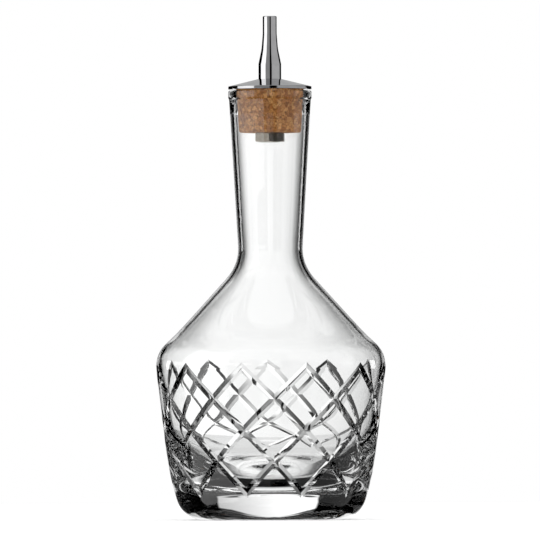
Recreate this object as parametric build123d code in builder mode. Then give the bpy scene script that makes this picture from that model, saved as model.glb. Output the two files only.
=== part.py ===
"""A glass bitters bottle with a cut lattice belly and a clamped cork stopper that carries a metal spout.

The frame stands on the middle of the base. +Z runs up the axis of the bottle and -Y faces the viewer.
"""

from build123d import *
import math
import os

# Outer outline of the glass: where its straight stretches would meet, from the base up
shoulder_radius = 33.3
belly_taper = 4.05
heel_taper = 3.95
heel_height = 13.2
belly_height = 34.0
shoulder_step = 7.05
shoulder_rise = 6.7
waist_radius = 8.95
slope_rise = 19.1
neck_flare = 2.75
neck_length = 47.0

# Rounds of those corners, each limited to this share of the shorter stretch beside it
round_reach_share = 0.49
base_round = 7.7
heel_round = 75.0
shoulder_round = 8.55
slope_round = 75.0
waist_round = 12.8

# Rim of the mouth
rim_step = 0.24
rim_taper = 0.55
rim_height = 2.1
rim_round = 0.45

# Inside of the glass: each wall is measured level, and each drop is how far the inner corner lies lower
floor_thickness = 8.8
floor_wall = 7.2
bowl_rise = 9.2
bowl_wall = 2.4
shoulder_wall = 1.4
shoulder_drop = 0.2
slope_wall = 0.8
slope_drop = 0.8
waist_wall = 1.1
waist_drop = 0.45
neck_wall = 1.0

# Low dome in the middle of the floor, whose radius is a share of the floor's
dome_share = 0.62
dome_rise = 0.68

# Bead inside the mouth, where the cork is held
bead_wall = 2.14
bead_height = 1.7
bead_run = 1.1

# Rounds of the inner corners
floor_round = 12.6
bowl_round = 25.6
inner_shoulder_round = 7.3
inner_slope_round = 60.0
inner_waist_round = 13.8
bead_foot_round = 0.8
bead_round = 0.5
bore_edge_round = 0.4

# Hollow under the base, which leaves a ring to stand on
stand_width = 9.0
hollow_depth = 0.8

# Lattice of V cuts round the belly
cuts_each_way = 11
half_steps_per_cut = 4
lattice_foot = 7.8
lattice_head_drop = 3.85
lattice_phase_degrees = 1.7
cut_depth = 0.55
cut_width = 2.0
sections_per_cut = 9
cut_end_share = 0.5

# Cork
cork_clearance = 0.15
cork_length = 12.3
cork_taper = 0.78
cork_edge = 0.4

# Domed disc over the mouth
seat_gap = 0.3
disc_edge_height = 0.9
disc_rise = 2.15
disc_edge_round = 0.2

# Spout, from the disc up, and its threaded tail
collar_radius = 3.25
collar_height = 4.3
flare_radius = 2.35
flare_height = 4.3
tip_radius = 2.0
tip_rise = 4.3
tip_length = 5.1
collar_round = 0.3
flare_round = 13.0
tip_edge_round = 0.28
thread_radius = 2.5
tail_recess = 0.3
channel_radius = 1.4
orifice_radius = 0.6
orifice_length = 1.6
tail_clearance = 0.1

# Thin hexagon nut
nut_across_flats = 8.0
nut_height = 2.7
nut_corner_chamfer = 0.3
nut_turn_degrees = -4.6
thread_clearance = 0.05

# Every cutting shape runs past the faces that it cuts by this much
overrun = 1.0

# Heights along the axis
shoulder_height = heel_height + belly_height
slope_height = shoulder_height + shoulder_rise
waist_height = slope_height + slope_rise
neck_top = waist_height + neck_length
mouth_height = neck_top + rim_taper + rim_height
bowl_height = heel_height + bowl_rise
bead_top = mouth_height - bead_height
bead_foot = bead_top - bead_run
disc_bottom = mouth_height + seat_gap
disc_edge_top = disc_bottom + disc_edge_height
disc_top = disc_edge_top + disc_rise
cork_bottom = disc_bottom - cork_length
nut_bottom = cork_bottom - nut_height

# Radii that follow
heel_radius = shoulder_radius - belly_taper
base_radius = heel_radius - heel_taper
slope_radius = shoulder_radius - shoulder_step
neck_radius = waist_radius + neck_flare
rim_radius = neck_radius + rim_step
bore_radius = rim_radius - bead_wall
bead_foot_radius = waist_radius + (bead_foot - waist_height) * neck_flare / neck_length - neck_wall
floor_radius = base_radius - floor_wall
bowl_radius = heel_radius + bowl_rise * belly_taper / belly_height - bowl_wall
dome_radius = floor_radius * dome_share
stand_radius = base_radius - stand_width


def fitted_rounds(corners, wanted):
    """The wanted round of each inner corner, as large as its stretches leave room for."""
    fitted = []
    for before, corner, after, size in zip(corners, corners[1:], corners[2:], wanted):
        back = Vector(*before) - Vector(*corner)
        ahead = Vector(*after) - Vector(*corner)
        turn = math.radians(180 - back.get_angle(ahead))
        reach = round_reach_share * min(back.length, ahead.length)
        fitted.append(min(size, reach / math.tan(turn / 2)))
    return fitted


# Outer outline, one half of the section
outer_corners = [
    (0, 0),
    (base_radius, 0),
    (heel_radius, heel_height),
    (shoulder_radius, shoulder_height),
    (slope_radius, slope_height),
    (waist_radius, waist_height),
    (neck_radius, neck_top),
]
outer_rounds = [base_round, heel_round, shoulder_round, slope_round, waist_round]

with BuildLine() as outer_line:
    FilletPolyline(*outer_corners, radius=fitted_rounds(outer_corners, outer_rounds))

# Inner outline, from the middle of the floor to the mouth
inner_corners = [
    (0, floor_thickness),
    (floor_radius, floor_thickness),
    (bowl_radius, bowl_height),
    (shoulder_radius - shoulder_wall, shoulder_height - shoulder_drop),
    (slope_radius - slope_wall, slope_height - slope_drop),
    (waist_radius - waist_wall, waist_height - waist_drop),
    (bead_foot_radius, bead_foot),
    (bore_radius, bead_top),
    (bore_radius, mouth_height),
]
inner_rounds = [
    floor_round,
    bowl_round,
    inner_shoulder_round,
    inner_slope_round,
    inner_waist_round,
    bead_foot_round,
    bead_round,
]


def outer_radius_at(height):
    """Radius of the glass outside, read off the outline."""
    level = Edge.make_line((0, height), (shoulder_radius + overrun, height))
    return max(point.X for edge in outer_line.edges() for point in meeting(edge, level))


def meeting(edge, level):
    """Points where an edge of the outline crosses a level line."""
    found = edge.intersect(level)
    return [] if found is None else [vertex.center() for vertex in found.vertices()]


# Lattice cutter: one V groove that climbs the belly, turned evenly with its height
lattice_head = shoulder_height - lattice_head_drop
half_step_degrees = 180 / cuts_each_way
cut_turn_degrees = half_steps_per_cut * half_step_degrees
cut_run = math.hypot(lattice_head - lattice_foot, math.radians(cut_turn_degrees) * heel_radius)
end_share = cut_end_share * cut_width / cut_run


def groove_point(share):
    """Point of the outer face on the middle of the groove, from 0 at its foot to 1 at its head."""
    height = lattice_foot + share * (lattice_head - lattice_foot)
    radius = outer_radius_at(height)
    turn = math.radians(share * cut_turn_degrees)
    return Vector(radius * math.sin(turn), -radius * math.cos(turn), height)


def groove_plane(share):
    """Plane across the groove, its Y out of the glass."""
    point = groove_point(share)
    along = groove_point(share + end_share / 2) - groove_point(share - end_share / 2)
    outward = Vector(point.X, point.Y, 0)
    return Plane(origin=point, x_dir=outward.cross(along), z_dir=along)


cut_slope = (cut_width / 2) / cut_depth
cutter_half_width = (cut_depth + overrun) * cut_slope

with BuildPart() as lattice_cutter:
    for section in range(sections_per_cut):
        share = -end_share + (1 + 2 * end_share) * section / (sections_per_cut - 1)
        with BuildSketch(groove_plane(share)):
            with BuildLine():
                Polyline(
                    (0, -cut_depth),
                    (cutter_half_width, overrun),
                    (-cutter_half_width, overrun),
                    close=True,
                )
            make_face()
    loft()


# Glass bottle
with BuildPart() as glass_bottle:
    with BuildSketch(Plane.XZ):
        with BuildLine():
            add(outer_line.line)
            Polyline(
                (neck_radius, neck_top),
                (rim_radius, neck_top + rim_taper),
                (rim_radius, mouth_height),
                (0, mouth_height),
                (0, 0),
            )
        make_face()
    revolve(axis=Axis.Z)
    rim_edge = glass_bottle.edges().filter_by(GeomType.CIRCLE).group_by(Axis.Z)[-1]
    fillet(rim_edge, rim_round)
    with BuildSketch(Plane.XZ):
        with BuildLine():
            FilletPolyline(*inner_corners, radius=fitted_rounds(inner_corners, inner_rounds))
            Polyline((bore_radius, mouth_height), (0, mouth_height), (0, floor_thickness))
        make_face()
    revolve(axis=Axis.Z, mode=Mode.SUBTRACT)
    with BuildSketch(Plane.XZ):
        with BuildLine():
            crown = TangentArc(
                (0, floor_thickness + dome_rise),
                (dome_radius / 2, floor_thickness + dome_rise / 2),
                tangent=(1, 0),
            )
            TangentArc(crown @ 1, (dome_radius, floor_thickness), tangent=crown % 1)
            Polyline((dome_radius, floor_thickness), (0, floor_thickness), (0, floor_thickness + dome_rise))
        make_face()
    revolve(axis=Axis.Z)
    bore_edge = (
        glass_bottle.edges()
        .filter_by(GeomType.CIRCLE)
        .group_by(Axis.Z)[-1]
        .sort_by(SortBy.RADIUS)[0]
    )
    fillet(bore_edge, bore_edge_round)
    with BuildSketch(Plane.XZ):
        with BuildLine():
            ThreePointArc((-stand_radius, 0), (0, hollow_depth), (stand_radius, 0))
            Line((stand_radius, 0), (-stand_radius, 0))
        make_face()
        split(bisect_by=Plane.YZ)
    revolve(axis=Axis.Z, mode=Mode.SUBTRACT)
    foot_turn = lattice_phase_degrees + half_step_degrees
    with PolarLocations(0, cuts_each_way, start_angle=foot_turn):
        add(lattice_cutter.part, mode=Mode.SUBTRACT)
    with PolarLocations(0, cuts_each_way, start_angle=foot_turn):
        add(lattice_cutter.part.mirror(Plane.YZ), mode=Mode.SUBTRACT)
glass_bottle.part.label = "glass_bottle"


# Cork, tapered from the bead down and drilled for the tail
cork_top_radius = bore_radius - cork_clearance
cork_bottom_radius = cork_top_radius - cork_taper

with BuildPart() as cork_stopper:
    with BuildSketch(Plane.XZ):
        with BuildLine():
            Polyline(
                (thread_radius + tail_clearance, cork_bottom),
                (cork_bottom_radius - cork_edge, cork_bottom),
                (cork_bottom_radius, cork_bottom + cork_edge),
                (cork_top_radius, disc_bottom),
                (thread_radius + tail_clearance, disc_bottom),
                close=True,
            )
        make_face()
    revolve(axis=Axis.Z)
cork_stopper.part.label = "cork_stopper"


# Domed disc
with BuildPart() as cap_disc:
    with BuildSketch(Plane.XZ):
        with BuildLine():
            Polyline(
                (thread_radius + tail_clearance, disc_bottom),
                (rim_radius, disc_bottom),
                (rim_radius, disc_edge_top),
                (collar_radius, disc_top),
                (thread_radius + tail_clearance, disc_top),
                close=True,
            )
        make_face()
    revolve(axis=Axis.Z)
    outer_edges = cap_disc.edges().filter_by(GeomType.CIRCLE).sort_by(SortBy.RADIUS)[-2:]
    fillet(outer_edges, disc_edge_round)
cap_disc.part.label = "cap_disc"


# Spout with its collar, its flare, its tip and the tail that passes through the disc and the cork
collar_top = disc_top + collar_height
flare_top = collar_top + flare_height
tip_bottom = flare_top + tip_rise
spout_top = tip_bottom + tip_length
tail_bottom = nut_bottom + tail_recess

with BuildPart() as dasher_spout:
    with BuildSketch(Plane.XZ):
        with BuildLine():
            FilletPolyline(
                (collar_radius, disc_top),
                (collar_radius, collar_top),
                (flare_radius, flare_top),
                (tip_radius, tip_bottom),
                (tip_radius, spout_top),
                (orifice_radius, spout_top),
                radius=[collar_round, flare_round, flare_round, tip_edge_round],
            )
            Polyline(
                (orifice_radius, spout_top),
                (orifice_radius, spout_top - orifice_length),
                (channel_radius, spout_top - orifice_length - (channel_radius - orifice_radius)),
                (channel_radius, tail_bottom),
                (thread_radius, tail_bottom),
                (thread_radius, disc_top),
                (collar_radius, disc_top),
            )
        make_face()
    revolve(axis=Axis.Z)
dasher_spout.part.label = "dasher_spout"


# Clamp nut, with a corner nearly towards the viewer and both faces turned down to a chamfered circle
nut_corner_radius = nut_across_flats / math.sqrt(3)
nut_face_radius = nut_across_flats / 2

with BuildPart() as clamp_nut:
    with BuildSketch(Plane.XY.offset(nut_bottom)):
        RegularPolygon(nut_corner_radius, 6, rotation=30 + nut_turn_degrees)
    extrude(amount=nut_height)
    with BuildSketch(Plane.XZ):
        with BuildLine():
            Polyline(
                (0, nut_bottom),
                (nut_face_radius, nut_bottom),
                (nut_corner_radius, nut_bottom + nut_corner_chamfer),
                (nut_corner_radius, cork_bottom - nut_corner_chamfer),
                (nut_face_radius, cork_bottom),
                (0, cork_bottom),
                close=True,
            )
        make_face()
    revolve(axis=Axis.Z, mode=Mode.INTERSECT)
    with Locations((0, 0, nut_bottom + nut_height / 2)):
        Hole(thread_radius + thread_clearance)
clamp_nut.part.label = "clamp_nut"


os.makedirs("parts", exist_ok=True)
export_step(glass_bottle.part, "parts/glass_bottle.step")
export_step(cork_stopper.part, "parts/cork_stopper.step")
export_step(cap_disc.part, "parts/cap_disc.step")
export_step(dasher_spout.part, "parts/dasher_spout.step")
export_step(clamp_nut.part, "parts/clamp_nut.step")
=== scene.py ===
"""The bitters bottle as it looks: clear cut glass, a cork plug and a bright turned spout, in a white studio.

Lengths are in millimetres, as in the construction, and become metres where a mesh is made.
"""

import math

import bpy
import bmesh
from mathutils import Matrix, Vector, noise


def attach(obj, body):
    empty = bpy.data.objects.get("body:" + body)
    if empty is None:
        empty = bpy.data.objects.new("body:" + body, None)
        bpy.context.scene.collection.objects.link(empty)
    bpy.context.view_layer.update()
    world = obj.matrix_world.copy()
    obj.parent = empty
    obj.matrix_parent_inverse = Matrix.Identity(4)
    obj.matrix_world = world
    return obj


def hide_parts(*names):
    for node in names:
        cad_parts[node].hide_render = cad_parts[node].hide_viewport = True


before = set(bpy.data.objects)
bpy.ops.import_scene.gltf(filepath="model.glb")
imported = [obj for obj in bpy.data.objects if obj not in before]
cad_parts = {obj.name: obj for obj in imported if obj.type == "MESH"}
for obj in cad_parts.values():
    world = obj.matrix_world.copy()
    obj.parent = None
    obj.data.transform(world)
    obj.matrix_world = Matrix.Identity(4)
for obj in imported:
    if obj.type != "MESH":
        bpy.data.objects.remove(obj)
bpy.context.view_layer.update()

MM = 0.001

# Outer outline of the glass: where its straight stretches would meet, from the base up
shoulder_radius = 33.3
belly_taper = 4.05
heel_taper = 3.95
heel_height = 13.2
belly_height = 34.0
shoulder_step = 7.05
shoulder_rise = 6.7
waist_radius = 8.95
slope_rise = 19.1
neck_flare = 2.75
neck_length = 47.0
outer_rounds = [7.7, 75.0, 8.55, 75.0, 12.8]

# Rim of the mouth
rim_step = 0.24
rim_taper = 0.55
rim_height = 2.1
rim_foot_round = 0.3
rim_round = 0.45

# Inside of the glass and the hollow under its base
floor_thickness = 8.8
floor_wall = 7.2
bowl_rise = 9.2
bowl_wall = 2.4
shoulder_wall = 1.4
shoulder_drop = 0.2
slope_wall = 0.8
slope_drop = 0.8
waist_wall = 1.1
waist_drop = 0.45
bead_height = 1.7
bead_run = 5.0
bead_wall = 2.14
neck_wall = 1.0
dome_share = 0.62
dome_rise = 0.68
inner_rounds = [12.6, 25.6, 7.3, 60.0, 13.8, 0.8, 0.5]
bore_edge_round = 0.4
stand_width = 9.0
hollow_depth = 0.8

# Lattice of V cuts
cuts_each_way = 11
rows = 4
lattice_foot = 7.8
lattice_head_drop = 3.85
lattice_phase = 1.7
cut_depth = 0.55
cut_width = 2.0
spans_per_diamond = 14

# Stopper
seat_gap = 0.3
cork_length = 12.3
cork_clearance = 0.15
cork_taper = 0.78
cork_edge = 0.4
disc_edge_height = 0.9
disc_rise = 2.15
disc_edge_round = 0.2
collar_radius = 3.25
collar_height = 4.3
flare_radius = 2.35
flare_height = 4.3
tip_radius = 2.0
tip_rise = 4.3
tip_length = 5.1
collar_round = 0.3
flare_round = 13.0
tip_edge_round = 0.28
thread_radius = 2.5
tail_recess = 0.3
channel_radius = 1.4
orifice_radius = 0.6
orifice_length = 1.6
tail_clearance = 0.1
nut_across_flats = 8.0
nut_height = 2.7
nut_corner_chamfer = 0.3
nut_turn = -4.6
thread_clearance = 0.05
nut_face_inset = 0.06
nut_bore_ease = 0.25
orifice_round = 0.15
throat_round = 0.2
tail_edge_round = 0.3

# Surface of the cork
cork_grain = 1.1
crevice_depth = 0.07
crevice_width = 0.16
crevice_patch = 2.3
crevice_bias = 0.35
pit_depth = 0.16
pit_patch = 0.75
pit_from = 0.42
pit_edge = 0.12
pit_shift = Vector((31.0, 7.0, 5.0))
cork_end_share = 0.4

# Heights and radii that follow
shoulder_height = heel_height + belly_height
slope_height = shoulder_height + shoulder_rise
waist_height = slope_height + slope_rise
neck_top = waist_height + neck_length
mouth_height = neck_top + rim_taper + rim_height
heel_radius = shoulder_radius - belly_taper
base_radius = heel_radius - heel_taper
slope_radius = shoulder_radius - shoulder_step
neck_radius = waist_radius + neck_flare
rim_radius = neck_radius + rim_step
bore_radius = rim_radius - bead_wall
bead_top = mouth_height - bead_height
bead_bottom = bead_top - bead_run
stand_radius = base_radius - stand_width
floor_radius = base_radius - floor_wall
bowl_radius = heel_radius + bowl_rise * belly_taper / belly_height - bowl_wall
dome_radius = floor_radius * dome_share
inner_corners = [
    (0, floor_thickness),
    (floor_radius, floor_thickness),
    (bowl_radius, heel_height + bowl_rise),
    (shoulder_radius - shoulder_wall, shoulder_height - shoulder_drop),
    (slope_radius - slope_wall, slope_height - slope_drop),
    (waist_radius - waist_wall, waist_height - waist_drop),
    (waist_radius + (bead_bottom - waist_height) * neck_flare / neck_length - neck_wall, bead_bottom),
    (bore_radius, bead_top),
    (bore_radius, mouth_height),
]
disc_bottom = mouth_height + seat_gap
disc_edge_top = disc_bottom + disc_edge_height
disc_top = disc_edge_top + disc_rise
cork_bottom = disc_bottom - cork_length
nut_bottom = cork_bottom - nut_height
hole_radius = thread_radius + tail_clearance

# Steps of the meshes: lengths along straight stretches, degrees along arcs, and counts round or across
straight_step = 1.2
arc_step = 5.0
dome_rings = 24
hollow_rings = 12
grid_margin = 0.3
level_margin = 0.001
cork_ring_step = 0.13
cork_under_step = 0.25
cork_over_step = 0.5
disc_step = 0.4
spout_step = 0.5
cork_segments = 440
metal_segments = 288
flat_steps = 30
flat_rows = 6


def arc(centre, radius, start, end):
    """Points of an arc from one angle to another, in radians, both ends included."""
    count = max(2, math.ceil(abs(math.degrees(end - start)) / arc_step))
    angles = [start + (end - start) * k / count for k in range(count + 1)]
    return [centre + radius * Vector((math.cos(a), math.sin(a))) for a in angles]


def rounded(corners, rounds):
    """A polyline through the corners, each inner corner rounded by an arc of its radius."""
    points = [Vector(corners[0])]
    for before, corner, after, radius in zip(corners, corners[1:], corners[2:], rounds):
        corner = Vector(corner)
        back = (Vector(before) - corner).normalized()
        ahead = (Vector(after) - corner).normalized()
        half = back.angle(ahead) / 2
        middle = (back + ahead).normalized()
        centre = corner + middle * (radius / math.sin(half))
        first = corner + back * (radius / math.tan(half)) - centre
        last = corner + ahead * (radius / math.tan(half)) - centre
        start = math.atan2(first.y, first.x)
        turn = first.angle_signed(last)
        points += arc(centre, radius, start, start - turn)
    points.append(Vector(corners[-1]))
    return points


def divided(points, step):
    """The same polyline with its long stretches divided."""
    out = [points[0]]
    for a, b in zip(points, points[1:]):
        count = max(1, math.ceil((b - a).length / step))
        out += [a.lerp(b, k / count) for k in range(1, count + 1)]
    return out


def length_at(points):
    """Distance along a polyline at each of its points."""
    lengths = [0.0]
    for a, b in zip(points, points[1:]):
        lengths.append(lengths[-1] + (b - a).length)
    return lengths


def interpolate(x, xs, ys):
    """Straight-line interpolation in a rising table."""
    if x <= xs[0]:
        return ys[0]
    for x0, x1, y0, y1 in zip(xs, xs[1:], ys, ys[1:]):
        if x <= x1:
            return y0 + (y1 - y0) * (x - x0) / (x1 - x0) if x1 > x0 else y1
    return ys[-1]


def spun(point, turn):
    """A point of an outline, radius and height, turned about the axis from the front."""
    return Vector((point.x * math.sin(turn), -point.x * math.cos(turn), point.y)) * MM


def finished(name, mesh_data, smooth_degrees, body, nodes):
    """An object from a bmesh, smooth but for its real edges, riding on its body in place of its nodes."""
    bmesh.ops.recalc_face_normals(mesh_data, faces=mesh_data.faces)
    mesh = bpy.data.meshes.new(name)
    mesh_data.to_mesh(mesh)
    mesh_data.free()
    mesh.shade_smooth()
    mesh.set_sharp_from_angle(angle=math.radians(smooth_degrees))
    piece = bpy.data.objects.new(name, mesh)
    bpy.context.scene.collection.objects.link(piece)
    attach(piece, body)
    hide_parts(*nodes)
    return piece


def ring(bm, point, turns):
    """One ring of vertices, or a single one on the axis."""
    if point.x == 0:
        return [bm.verts.new(spun(point, 0))]
    return [bm.verts.new(spun(point, turn)) for turn in turns]


def bridge(bm, low, high):
    """Faces between two rings of the same count, or between a ring and a point."""
    count = max(len(low), len(high))
    for k in range(count):
        a, b = k, (k + 1) % count
        if len(low) == 1:
            bm.faces.new((low[0], high[b], high[a]))
        elif len(high) == 1:
            bm.faces.new((low[a], low[b], high[0]))
        else:
            bm.faces.new((low[a], low[b], high[b], high[a]))


# Glass


def dome_height(share):
    """Height of the low dome in the floor, at a share of its radius: two arcs, level at both ends."""
    arc_radius = (dome_radius**2 + dome_rise**2) / (4 * dome_rise)
    from_end = min(share, 1 - share) * dome_radius
    drop = arc_radius - math.sqrt(arc_radius**2 - from_end**2)
    return dome_rise - drop if share < 0.5 else drop


def cut_glass_mesh():
    """The glass: a grid in line with the cuts round the belly, and rings above, inside and below it."""
    bm = bmesh.new()
    outer_corners = [
        (0, 0),
        (base_radius, 0),
        (heel_radius, heel_height),
        (shoulder_radius, shoulder_height),
        (slope_radius, slope_height),
        (waist_radius, waist_height),
        (neck_radius, neck_top),
    ]
    outline = rounded(outer_corners, outer_rounds)
    lengths = length_at(outline)
    heights = [point.y for point in outline]

    # Levels count half steps of the lattice, from 0 at its foot to 4 at its head
    lattice_head = shoulder_height - lattice_head_drop
    level_height = (lattice_head - lattice_foot) / rows
    half_step = math.pi / cuts_each_way
    foot_length = interpolate(lattice_foot, heights, lengths)
    head_length = interpolate(lattice_head, heights, lengths)
    level_length = (head_length - foot_length) / rows
    level_run = math.hypot(half_step * heel_radius, level_height)
    half_width = cut_width / 2 * level_run / (half_step * heel_radius * level_height)

    def outer_point(level):
        """Point of the outline at a level, which runs on past the lattice along the outline."""
        if 0 <= level <= rows:
            along = interpolate(lattice_foot + level * level_height, heights, lengths)
        elif level < 0:
            along = foot_length + level * level_length
        else:
            along = head_length + (level - rows) * level_length
        radius = interpolate(along, lengths, [point.x for point in outline])
        height = interpolate(along, lengths, heights)
        return Vector((radius, height)), along

    # Grid lines across one diamond, from one cut's bottom to the next one's, closest at the cuts' edges
    inner = [half_width + (2 - 2 * half_width) * k / spans_per_diamond for k in range(spans_per_diamond + 1)]
    lines = [0.0] + inner
    across = len(lines)
    total = cuts_each_way * across

    def line_at(index):
        return 2 * (index // across) + lines[index % across]

    verts = {}

    def lattice_vertex(u_index, v_index):
        key = (u_index % total, v_index - (u_index - u_index % total))
        if key not in verts:
            u, v = line_at(key[0]), line_at(key[1])
            level = (v - u) / 2
            turn = math.radians(lattice_phase) + half_step * (1 + (u + v) / 2)
            point, along = outer_point(level)
            on_cut = key[0] % across == 0 or key[1] % across == 0
            if on_cut and -level_margin < level < rows + level_margin:
                point = Vector((point.x - cut_depth, point.y))
            verts[key] = bm.verts.new(spun(point, turn))
        return verts[key]

    for u_index in range(total):
        for v_index in range(u_index - across, u_index + (rows + 1) * across + 1):
            a = lattice_vertex(u_index, v_index)
            c = lattice_vertex(u_index + 1, v_index + 1)
            lowest = v_index == u_index - across
            highest = v_index == u_index + (rows + 1) * across
            if lowest:
                bm.faces.new((a, c, lattice_vertex(u_index, v_index + 1)))
                continue
            b = lattice_vertex(u_index + 1, v_index)
            if highest:
                bm.faces.new((a, b, c))
                continue
            d = lattice_vertex(u_index, v_index + 1)
            u_side, v_side = u_index % across, v_index % across
            beside = (u_side in (0, across - 1)) and (v_side in (0, across - 1))
            if not beside:
                bm.faces.new((a, b, c, d))
            elif (u_side == 0) == (v_side == 0):
                bm.faces.new((a, b, c))
                bm.faces.new((a, c, d))
            else:
                bm.faces.new((a, b, d))
                bm.faces.new((b, c, d))

    turns = [
        math.radians(lattice_phase) + half_step * (1 + line_at(k) + 1 + rows) for k in range(total)
    ]
    low_ring = [lattice_vertex(k, k - across) for k in range(total)]
    high_ring = [lattice_vertex(k, k + (rows + 1) * across) for k in range(total)]

    # Below the lattice: the base round, the ring that it stands on and the hollow
    low_turns = [math.radians(lattice_phase) + half_step * line_at(k) for k in range(total)]
    low_end = outer_point(-1)[1]
    below = [
        p for p, s in zip(outline, lengths) if 0 < s < low_end - grid_margin and p.x > stand_radius
    ]
    hollow_radius = (stand_radius**2 + hollow_depth**2) / (2 * hollow_depth)
    hollow_angle = math.asin(stand_radius / hollow_radius)
    hollow = [
        Vector((
            hollow_radius * math.sin(hollow_angle * k / hollow_rings),
            hollow_depth - hollow_radius * (1 - math.cos(hollow_angle * k / hollow_rings)),
        ))
        for k in range(hollow_rings + 1)
    ]
    last = low_ring
    for point in list(reversed(below)) + list(reversed(hollow)):
        new = ring(bm, point, low_turns)
        bridge(bm, new, last)
        last = new

    # Above the lattice: shoulder, neck, rim, bore and floor
    high_end = outer_point(rows + 1)[1]
    upper = divided([p for p, s in zip(outline, lengths) if s > high_end + grid_margin], straight_step)
    rim = rounded(
        [
            (neck_radius, neck_top),
            (rim_radius, neck_top + rim_taper),
            (rim_radius, mouth_height),
            (bore_radius, mouth_height),
            (bore_radius, bead_top),
        ],
        [rim_foot_round, rim_round, bore_edge_round],
    )
    inside = list(reversed(rounded(inner_corners, inner_rounds)))
    dome = [
        Vector((dome_radius * (1 - k / dome_rings), floor_thickness + dome_height(1 - k / dome_rings)))
        for k in range(dome_rings + 1)
    ]
    rest = divided(upper + rim[1:-1] + inside[1:-1], straight_step) + dome
    last = high_ring
    for point in rest:
        new = ring(bm, point, turns)
        bridge(bm, last, new)
        last = new
    return bm


# Stopper


def lathe(bm, outline, segments, shape=None):
    """A closed outline spun about the axis, each of its points moved by a shape if there is one."""
    turns = [2 * math.pi * k / segments for k in range(segments)]
    rings = []
    for point in outline:
        if shape is None:
            rings.append([bm.verts.new(spun(point, turn)) for turn in turns])
        else:
            rings.append([bm.verts.new(spun(shape(point, turn), turn)) for turn in turns])
    for low, high in zip(rings, rings[1:] + rings[:1]):
        bridge(bm, low, high)


def cork_shape(point, turn):
    """The cork's side drawn in along the borders of its granules and in a few pits."""
    if point.x < hole_radius + cork_edge:
        return point
    place = Vector((point.x * math.sin(turn), point.x * math.cos(turn), point.y))
    near, far = noise.voronoi(place / cork_grain)[0][:2]
    crevice = crevice_depth * max(0.0, 1 - (far - near) / crevice_width)
    patch = noise.noise(place / pit_patch + pit_shift)
    pit = pit_depth * min(1.0, max(0.0, patch - pit_from) / pit_edge)
    depth = crevice * max(0.0, noise.noise(place / crevice_patch) + crevice_bias) + pit
    inward = 1.0 if cork_bottom + cork_edge < point.y < disc_bottom - cork_edge else cork_end_share
    return Vector((point.x - depth * inward, point.y))


def cork_mesh():
    """The tapered plug, drilled for the tail."""
    bm = bmesh.new()
    top_radius = bore_radius - cork_clearance
    bottom_radius = top_radius - cork_taper
    hole_foot = Vector((hole_radius, cork_bottom))
    hole_head = Vector((hole_radius, disc_bottom))
    under_edge = Vector((bottom_radius - cork_edge, cork_bottom))
    side_foot = Vector((bottom_radius, cork_bottom + cork_edge))
    side_head = Vector((top_radius, disc_bottom))
    side = divided([side_foot, side_head], cork_ring_step)
    under = divided([hole_foot, under_edge], cork_under_step)
    over = divided([side_head, hole_head], cork_over_step)
    hole = divided([hole_head, hole_foot], straight_step)
    lathe(bm, under + side + over[1:] + hole[1:-1], cork_segments, cork_shape)
    return bm


def disc_mesh():
    """The domed disc: a flat edge, an eased corner and a cone that rises to the spout."""
    bm = bmesh.new()
    outline = rounded(
        [
            (hole_radius, disc_bottom),
            (rim_radius, disc_bottom),
            (rim_radius, disc_edge_top),
            (collar_radius, disc_top),
            (hole_radius, disc_top),
        ],
        [disc_edge_round, disc_edge_round, disc_edge_round],
    )
    lathe(bm, divided(outline, disc_step), metal_segments)
    return bm


def spout_mesh():
    """The turned spout, bored through, with the tail that passes down through disc, cork and nut."""
    bm = bmesh.new()
    collar_top = disc_top + collar_height
    flare_top = collar_top + flare_height
    tip_bottom = flare_top + tip_rise
    spout_top = tip_bottom + tip_length
    tail_bottom = nut_bottom + tail_recess
    throat = spout_top - orifice_length
    outside = rounded(
        [
            (collar_radius, disc_top),
            (collar_radius, collar_top),
            (flare_radius, flare_top),
            (tip_radius, tip_bottom),
            (tip_radius, spout_top),
            (orifice_radius, spout_top),
            (orifice_radius, throat),
        ],
        [collar_round, flare_round, flare_round, tip_edge_round, orifice_round],
    )
    inside = rounded(
        [
            (orifice_radius, throat),
            (channel_radius, throat - (channel_radius - orifice_radius)),
            (channel_radius, tail_bottom),
            (thread_radius, tail_bottom),
            (thread_radius, disc_bottom),
        ],
        [throat_round, tail_edge_round, tail_edge_round],
    )
    outline = outside + inside[1:] + [Vector((thread_radius, disc_top))]
    lathe(bm, divided(outline, spout_step), metal_segments)
    return bm


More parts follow.
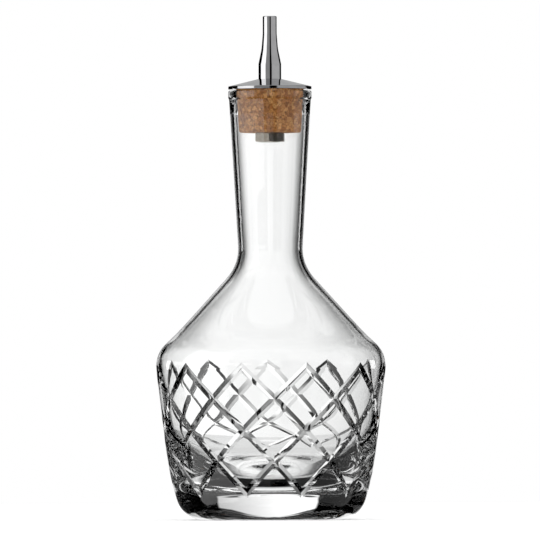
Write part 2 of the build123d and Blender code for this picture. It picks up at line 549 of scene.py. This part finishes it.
def nut_mesh():
    """The thin hexagon nut: flats by angle, faces chamfered to a circle, and a bore eased at its ends."""
    bm = bmesh.new()
    flat_distance = nut_across_flats / 2
    corner_radius = nut_across_flats / math.sqrt(3)
    face_radius = flat_distance - nut_face_inset
    bore = thread_radius + thread_clearance

    def flat_radius(turn):
        """Distance from the axis to the flats, in one direction."""
        off = (math.degrees(turn) - nut_turn) % 60 - 30
        return flat_distance / math.cos(math.radians(off))

    def chamfer(radius):
        """How far the chamfer has come down from a face at a radius."""
        return nut_corner_chamfer * (radius - face_radius) / (corner_radius - face_radius)

    turns = [math.radians(nut_turn + 60 * k / flat_steps) for k in range(6 * flat_steps)]
    rings = []
    rings.append([(bore, nut_bottom + nut_bore_ease)] * len(turns))
    rings.append([(bore + nut_bore_ease, nut_bottom)] * len(turns))
    rings.append([(face_radius, nut_bottom)] * len(turns))
    for row in range(flat_rows + 1):
        ring_points = []
        for turn in turns:
            radius = flat_radius(turn)
            low = nut_bottom + chamfer(radius)
            high = cork_bottom - chamfer(radius)
            ring_points.append((radius, low + (high - low) * row / flat_rows))
        rings.append(ring_points)
    rings.append([(face_radius, cork_bottom)] * len(turns))
    rings.append([(bore + nut_bore_ease, cork_bottom)] * len(turns))
    rings.append([(bore, cork_bottom - nut_bore_ease)] * len(turns))
    verts = [[bm.verts.new(spun(Vector(p), turn)) for p, turn in zip(points, turns)] for points in rings]
    for low, high in zip(verts, verts[1:] + verts[:1]):
        bridge(bm, low, high)
    return bm


# Materials


def new_material(name):
    """A material with its shader, its tree and the object's own coordinates."""
    material = bpy.data.materials.new(name)
    material.use_nodes = True
    tree = material.node_tree
    shader = tree.nodes["Principled BSDF"]
    coord = tree.nodes.new("ShaderNodeTexCoord")
    return material, shader, tree, coord.outputs["Object"]


def textured(tree, kind, scale, place, **settings):
    """A texture node at a scale given by the size of its features in millimetres."""
    node = tree.nodes.new(kind)
    for key, value in settings.items():
        if key in node.inputs:
            node.inputs[key].default_value = value
        else:
            setattr(node, key, value)
    node.inputs["Scale"].default_value = 1 / (scale * MM)
    tree.links.new(place, node.inputs["Vector"])
    return node


def ramp(tree, source, stops):
    """Colours or greys along a value."""
    node = tree.nodes.new("ShaderNodeValToRGB")
    elements = node.color_ramp.elements
    while len(elements) > 1:
        elements.remove(elements[-1])
    for k, (position, colour) in enumerate(stops):
        element = elements[0] if k == 0 else elements.new(position)
        element.position = position
        element.color = (*colour, 1) if isinstance(colour, tuple) else (colour, colour, colour, 1)
    tree.links.new(source, node.inputs["Fac"])
    return node.outputs["Color"]


def mixed(tree, factor, a, b, blend_type="MIX"):
    """Two colours mixed by a factor."""
    node = tree.nodes.new("ShaderNodeMix")
    node.data_type = "RGBA"
    node.blend_type = blend_type
    for socket, value in (("Factor", factor), ("A", a), ("B", b)):
        if isinstance(value, (int, float)):
            node.inputs[socket].default_value = value
        elif isinstance(value, tuple):
            node.inputs[socket].default_value = (*value, 1)
        else:
            tree.links.new(value, node.inputs[socket])
    return node.outputs["Result"]


def bump(tree, shader, height, distance, strength):
    """A bump of so many millimetres on a shader."""
    node = tree.nodes.new("ShaderNodeBump")
    node.inputs["Strength"].default_value = strength
    node.inputs["Distance"].default_value = distance * MM
    tree.links.new(height, node.inputs["Height"])
    tree.links.new(node.outputs["Normal"], shader.inputs["Normal"])


def glass_material():
    """Clear glass with the faint waviness of moulding."""
    material, shader, tree, place = new_material("clear_glass")
    waves = textured(tree, "ShaderNodeTexNoise", 9.0, place, Detail=2.0)
    tint = ramp(tree, waves.outputs["Fac"], [(0.3, (0.985, 0.99, 0.988)), (0.7, (0.995, 0.997, 0.996))])
    tree.links.new(tint, shader.inputs["Base Color"])
    shader.inputs["IOR"].default_value = 1.52
    shader.inputs["Transmission Weight"].default_value = 1.0
    shader.inputs["Roughness"].default_value = 0.0
    bump(tree, shader, waves.outputs["Fac"], 0.012, 0.5)
    return material


def cork_material():
    """Agglomerated cork: granules of several browns, dark borders and lenticels, fine pores."""
    material, shader, tree, place = new_material("pressed_cork")
    warp = textured(tree, "ShaderNodeTexNoise", 1.2, place, Detail=3.0)
    shift = tree.nodes.new("ShaderNodeVectorMath")
    shift.operation = "MULTIPLY_ADD"
    tree.links.new(warp.outputs["Color"], shift.inputs[0])
    shift.inputs[1].default_value = (0.5 * MM,) * 3
    tree.links.new(place, shift.inputs[2])
    moved = shift.outputs["Vector"]
    granules = textured(tree, "ShaderNodeTexVoronoi", cork_grain, moved)
    tone = ramp(tree, granules.outputs["Color"], [
        (0.0, (0.205, 0.070, 0.015)),
        (0.3, (0.350, 0.136, 0.035)),
        (0.55, (0.460, 0.198, 0.056)),
        (0.8, (0.580, 0.290, 0.097)),
        (1.0, (0.290, 0.110, 0.026)),
    ])
    pores = textured(tree, "ShaderNodeTexNoise", 0.28, moved, Detail=4.0, Roughness=0.7)
    speckle = ramp(tree, pores.outputs["Fac"], [(0.36, 0.3), (0.47, 0.9), (0.62, 1.25)])
    speckled = mixed(tree, 1.0, tone, speckle, "MULTIPLY")
    borders = textured(tree, "ShaderNodeTexVoronoi", cork_grain, moved, feature="DISTANCE_TO_EDGE")
    edge = ramp(tree, borders.outputs["Distance"], [(0.0, 0.4), (0.08, 1.0)])
    edged = mixed(tree, 0.8, speckled, edge, "MULTIPLY")
    flecks = textured(tree, "ShaderNodeTexNoise", 0.85, place, Detail=2.0, Roughness=0.6)
    fleck = ramp(tree, flecks.outputs["Fac"], [(0.66, 0.0), (0.71, 1.0)])
    colour = mixed(tree, fleck, edged, (0.055, 0.022, 0.009))
    tree.links.new(colour, shader.inputs["Base Color"])
    shader.inputs["Roughness"].default_value = 0.88
    shader.inputs["Specular IOR Level"].default_value = 0.25
    bump(tree, shader, pores.outputs["Fac"], 0.08, 0.7)
    return material


def turned_metal(name, dark, light, roughness, ridge):
    """Bright metal with turning marks round the axis and faint stains."""
    material, shader, tree, place = new_material(name)
    split = tree.nodes.new("ShaderNodeSeparateXYZ")
    tree.links.new(place, split.inputs[0])
    flat = tree.nodes.new("ShaderNodeVectorMath")
    flat.operation = "LENGTH"
    level = tree.nodes.new("ShaderNodeCombineXYZ")
    tree.links.new(split.outputs["X"], level.inputs["X"])
    tree.links.new(split.outputs["Y"], level.inputs["Y"])
    tree.links.new(level.outputs[0], flat.inputs[0])
    marks_place = tree.nodes.new("ShaderNodeCombineXYZ")
    tree.links.new(flat.outputs["Value"], marks_place.inputs["X"])
    tree.links.new(split.outputs["Z"], marks_place.inputs["Z"])
    marks = textured(tree, "ShaderNodeTexNoise", 0.12, marks_place.outputs[0], Detail=3.0)
    stains = textured(tree, "ShaderNodeTexNoise", 1.8, place, Detail=4.0, Roughness=0.6)
    tint = ramp(tree, stains.outputs["Fac"], [(0.35, dark), (0.65, light)])
    tree.links.new(tint, shader.inputs["Base Color"])
    rough = ramp(tree, stains.outputs["Fac"], [(0.3, roughness * 0.7), (0.7, roughness * 1.4)])
    tree.links.new(rough, shader.inputs["Roughness"])
    shader.inputs["Metallic"].default_value = 1.0
    bump(tree, shader, marks.outputs["Fac"], ridge, 0.6)
    return material


glass = finished("cut_glass", cut_glass_mesh(), 14, "bottle", ["glass_bottle"])
glass.data.materials.append(glass_material())

cork = finished("cork_plug", cork_mesh(), 40, "stopper", ["cork_stopper"])
cork.data.materials.append(cork_material())

disc = finished("domed_disc", disc_mesh(), 25, "stopper", ["cap_disc"])
disc.data.materials.append(turned_metal("disc_chrome", (0.50, 0.50, 0.51), (0.57, 0.57, 0.58), 0.06, 0.0015))

spout = finished("turned_spout", spout_mesh(), 25, "stopper", ["dasher_spout"])
spout.data.materials.append(turned_metal("spout_chrome", (0.62, 0.62, 0.63), (0.70, 0.70, 0.71), 0.04, 0.001))

nut = finished("hexagon_nut", nut_mesh(), 25, "stopper", ["clamp_nut"])
nut.data.materials.append(turned_metal("nut_steel", (0.36, 0.33, 0.28), (0.45, 0.41, 0.35), 0.16, 0.003))

# Studio: each card has a middle azimuth from straight behind, right positive, a half width, a middle
# elevation, a half height, a brightness and the softness of its edges, all but the brightness in degrees
cards_through_glass = {
    "table_behind": (1, 14, -27, 17, 0.85, 9),
    "softbox_left": (-107, 28, 2, 9, 0.8, 5),
    "window_right": (92, 8, 0, 14, 0.7, 3),
    "wall_right": (126, 51, 0, 12, 0.06, 5),
    "window_in_front": (180, 10, -8, 20, 0.7, 3),
    "floor_in_front": (180, 50, -45, 30, 0.35, 10),
    "ceiling_in_front": (180, 90, 75, 20, 0.15, 10),
}
cards_beyond_bottle = {
    "table_below": (0, 181, -68, 24, 0.85, 6),
    "table_beyond_sides": (180, 105, -25, 19, 0.85, 6),
}
cards_mirrored = {
    "panel_behind": (1, 11, -8, 12, 0.9, 4),
    "softbox_left": (-107, 28, 5, 40, 1.6, 2),
    "grey_left": (-157, 22, 5, 40, 0.3, 2),
    "wall_right": (111, 49, 5, 40, 0.5, 3),
    "sky_behind": (0, 9, 24, 17, 0.5, 4),
    "ceiling": (0, 181, 76, 26, 0.5, 6),
}
plain_brightness = 1.4
walls_passed = 3.5


def studio_world():
    """White for the camera and for plain light, and cards in the dark for what glass and metal show."""
    world = bpy.data.worlds.new("studio")
    bpy.context.scene.world = world
    world.use_nodes = True
    world.cycles.sampling_method = "NONE"
    nodes = world.node_tree.nodes
    links = world.node_tree.links
    nodes.clear()

    def calculated(operation, *values):
        """The output of one sum, its inputs numbers or sockets."""
        node = nodes.new("ShaderNodeMath")
        node.operation = operation
        for socket, value in zip(node.inputs, values):
            if isinstance(value, (int, float)):
                socket.default_value = value
            else:
                links.new(value, socket)
        return node.outputs[0]

    def inside(distance, half, softness):
        """1 within a half size of a card and 0 beyond it, eased over the softness."""
        node = nodes.new("ShaderNodeMapRange")
        node.interpolation_type = "SMOOTHSTEP"
        node.inputs["From Min"].default_value = half + softness
        node.inputs["From Max"].default_value = half - softness
        links.new(distance, node.inputs["Value"])
        return node.outputs[0]

    coord = nodes.new("ShaderNodeTexCoord")
    split = nodes.new("ShaderNodeSeparateXYZ")
    links.new(coord.outputs["Generated"], split.inputs[0])
    to_degrees = 180 / math.pi
    turn = calculated("ARCTAN2", split.outputs["X"], split.outputs["Y"])
    azimuth = calculated("MULTIPLY", turn, to_degrees)
    elevation = calculated("MULTIPLY", calculated("ARCSINE", split.outputs["Z"]), to_degrees)

    def lit_by(cards):
        """Brightness of the studio in the direction of a ray."""
        total = 0.0
        for middle, half_width, level, half_height, brightness, softness in cards.values():
            off = calculated("WRAP", calculated("SUBTRACT", azimuth, middle), 180.0, -180.0)
            across = inside(calculated("ABSOLUTE", off), half_width, softness)
            up = calculated("ABSOLUTE", calculated("SUBTRACT", elevation, level))
            along = inside(up, half_height, softness)
            share = calculated("MULTIPLY", across, along)
            total = calculated("MULTIPLY_ADD", share, brightness, total)
        return total

    path = nodes.new("ShaderNodeLightPath")
    beyond = calculated("GREATER_THAN", path.outputs["Transmission Depth"], walls_passed)
    beyond_part = calculated("MULTIPLY", beyond, lit_by(cards_beyond_bottle))
    through = calculated("MAXIMUM", lit_by(cards_through_glass), beyond_part)
    mirrored = lit_by(cards_mirrored)
    reflected = path.outputs["Is Reflection Ray"]
    mirrored_part = calculated("MULTIPLY", reflected, calculated("SUBTRACT", mirrored, through))
    shown = calculated("ADD", through, mirrored_part)
    plain = calculated("GREATER_THAN", path.outputs["Diffuse Depth"], 0.5)
    plain_part = calculated("MULTIPLY", plain, calculated("SUBTRACT", plain_brightness, shown))
    lit = calculated("ADD", shown, plain_part)
    direct = path.outputs["Is Camera Ray"]
    direct_part = calculated("MULTIPLY", direct, calculated("SUBTRACT", 1.0, lit))
    final = calculated("ADD", lit, direct_part)
    background = nodes.new("ShaderNodeBackground")
    out = nodes.new("ShaderNodeOutputWorld")
    links.new(final, background.inputs["Color"])
    links.new(background.outputs[0], out.inputs[0])


studio_world()

# Lit panel behind the bottle, with two soft flags that darken the neck's edges, and dark upper corners
# that darken the slope's
panel_distance = 1000.0
panel_left = -374.0
panel_right = 445.0
panel_bottom = -380.0
panel_top = 470.0
panel_edge = 15.0
panel_brightness = 1.25
fall_from = -150.0
fall_share = 0.45
flag_gap = 150.0
flag_edge = 130.0
flag_bottom = 62.0
flag_top = 190.0
flag_soft = 20.0
flag_share = 0.06
corner_foot = 200.0
corner_soft = 30.0
corner_gap = 255.0
corner_edge = 45.0


def panel_material():
    """Plain light that falls off to the right low down, and to both sides higher up."""
    material = bpy.data.materials.new("lit_panel")
    material.use_nodes = True
    tree = material.node_tree
    tree.nodes.clear()
    coord = tree.nodes.new("ShaderNodeTexCoord")
    split = tree.nodes.new("ShaderNodeSeparateXYZ")
    tree.links.new(coord.outputs["Object"], split.inputs[0])

    def eased(value, low, high, low_value, high_value, kind="SMOOTHSTEP"):
        node = tree.nodes.new("ShaderNodeMapRange")
        node.interpolation_type = kind
        for socket, number in zip(("From Min", "From Max"), (low, high)):
            node.inputs[socket].default_value = number * MM
        node.inputs["To Min"].default_value = low_value
        node.inputs["To Max"].default_value = high_value
        tree.links.new(value, node.inputs["Value"])
        return node.outputs[0]

    def product(a, b):
        node = tree.nodes.new("ShaderNodeMath")
        node.operation = "MULTIPLY"
        tree.links.new(a, node.inputs[0])
        tree.links.new(b, node.inputs[1])
        return node.outputs[0]

    def mixture(factor, a, b):
        node = tree.nodes.new("ShaderNodeMix")
        tree.links.new(factor, node.inputs["Factor"])
        for socket, value in (("A", a), ("B", b)):
            if isinstance(value, (int, float)):
                node.inputs[socket].default_value = value
            else:
                tree.links.new(value, node.inputs[socket])
        return node.outputs["Result"]

    x, z = split.outputs["X"], split.outputs["Z"]
    off = tree.nodes.new("ShaderNodeMath")
    off.operation = "ABSOLUTE"
    tree.links.new(x, off.inputs[0])
    left_edge = eased(x, panel_left - panel_edge, panel_left + panel_edge, 0, 1)
    right_edge = eased(x, panel_right - panel_edge, panel_right + panel_edge, 1, 0)
    fall = eased(x, fall_from, panel_right, panel_brightness, panel_brightness * fall_share, "LINEAR")
    sheet = product(product(left_edge, right_edge), fall)
    beside = eased(off.outputs[0], flag_gap - flag_edge, flag_gap + flag_edge, 0, 1)
    over_foot = eased(z, flag_bottom - flag_soft, flag_bottom + flag_soft, 0, 1)
    under_top = eased(z, flag_top - flag_soft, flag_top + flag_soft, 1, 0)
    flagged = product(product(beside, over_foot), under_top)
    kept = mixture(flagged, 1.0, flag_share)
    outer = eased(off.outputs[0], corner_gap - corner_edge, corner_gap + corner_edge, 0, 1)
    upper = eased(z, corner_foot - corner_soft, corner_foot + corner_soft, 0, 1)
    narrowed = mixture(product(outer, upper), 1.0, flag_share)
    emission = tree.nodes.new("ShaderNodeEmission")
    tree.links.new(product(product(sheet, kept), narrowed), emission.inputs["Strength"])
    out = tree.nodes.new("ShaderNodeOutputMaterial")
    tree.links.new(emission.outputs[0], out.inputs[0])
    return material


panel_mesh = bpy.data.meshes.new("studio_panel")
panel_corners = [
    (panel_left - panel_edge, panel_bottom),
    (panel_right + panel_edge, panel_bottom),
    (panel_right + panel_edge, panel_top),
    (panel_left - panel_edge, panel_top),
]
panel_mesh.from_pydata([Vector((x, panel_distance, z)) * MM for x, z in panel_corners], [], [(0, 1, 2, 3)])
panel = bpy.data.objects.new("studio_panel", panel_mesh)
bpy.context.scene.collection.objects.link(panel)
panel.data.materials.append(panel_material())
panel.visible_camera = False
panel.visible_diffuse = False
panel.visible_glossy = False


# Strips that show only as reflections: first and last azimuth, lowest and highest point, brightness
strip_distance = 400.0
strip_steps = 40
reflected_strips = {
    "strip_left": (-162.0, -70.0, 58.0, 108.0, 1.8),
    "strip_right": (73.0, 108.0, 58.0, 108.0, 0.9),
    "edge_light_left": (-64.0, -54.0, 15.0, 108.0, 4.0),
    "edge_light_right": (54.0, 64.0, 15.0, 108.0, 4.0),
}


def curved_strip(name, start, end, low, high, brightness):
    """A lit strip curved round the bottle, from one azimuth to another."""
    material = bpy.data.materials.new(name)
    material.use_nodes = True
    tree = material.node_tree
    tree.nodes.clear()
    emission = tree.nodes.new("ShaderNodeEmission")
    emission.inputs["Strength"].default_value = brightness
    out = tree.nodes.new("ShaderNodeOutputMaterial")
    tree.links.new(emission.outputs[0], out.inputs[0])
    points = []
    for k in range(strip_steps + 1):
        turn = math.radians(start + (end - start) * k / strip_steps)
        for z in (low, high):
            points.append(Vector((strip_distance * math.sin(turn), strip_distance * math.cos(turn), z)) * MM)
    faces = [(2 * k, 2 * k + 2, 2 * k + 3, 2 * k + 1) for k in range(strip_steps)]
    mesh = bpy.data.meshes.new(name)
    mesh.from_pydata(points, [], faces)
    mesh.materials.append(material)
    strip = bpy.data.objects.new(name, mesh)
    bpy.context.scene.collection.objects.link(strip)
    strip.visible_camera = False
    strip.visible_diffuse = False
    strip.visible_transmission = False


for strip_name, strip_values in reflected_strips.items():
    curved_strip(strip_name, *strip_values)

# Round sheet of white paper under the bottle
paper_radius = 450.0
paper_segments = 96
paper_white = 0.95
paper_roughness = 0.9

floor_mesh = bpy.data.meshes.new("studio_floor")
floor_bm = bmesh.new()
bmesh.ops.create_circle(floor_bm, cap_ends=True, radius=paper_radius * MM, segments=paper_segments)
floor_bm.to_mesh(floor_mesh)
floor_bm.free()
floor = bpy.data.objects.new("studio_floor", floor_mesh)
bpy.context.scene.collection.objects.link(floor)
floor_mat = bpy.data.materials.new("floor_paper")
floor_mat.use_nodes = True
floor_shader = floor_mat.node_tree.nodes["Principled BSDF"]
floor_shader.inputs["Base Color"].default_value = (paper_white, paper_white, paper_white, 1)
floor_shader.inputs["Roughness"].default_value = paper_roughness
floor.data.materials.append(floor_mat)
floor.visible_transmission = False
floor.visible_glossy = False

# Camera, from the photograph's frame of 540 by 540 pixels
photo_width = 540
pixel = 0.286
axis_column = 271.0
base_row = 519.5
camera_distance = 2860.0
camera_height = 33.0
camera_roll = 0.2

camera_data = bpy.data.cameras.new("camera")
camera = bpy.data.objects.new("camera", camera_data)
bpy.context.scene.collection.objects.link(camera)
side = (photo_width / 2 - axis_column) * pixel
aim_height = (base_row - photo_width / 2) * pixel
camera.location = Vector((side, -camera_distance, camera_height)) * MM
rise = aim_height - camera_height
camera.rotation_euler = (math.pi / 2 + math.atan2(rise, camera_distance), math.radians(camera_roll), 0)
distance = math.hypot(camera_distance, rise)
camera_data.lens = camera_data.sensor_width * distance / (photo_width * pixel)
camera_data.clip_start = 0.1
camera_data.clip_end = 100.0
bpy.context.scene.camera = camera
bpy.context.scene.view_settings.view_transform = "Standard"
bpy.context.scene.cycles.max_bounces = 24
bpy.context.scene.cycles.transmission_bounces = 24
bpy.context.scene.cycles.glossy_bounces = 12
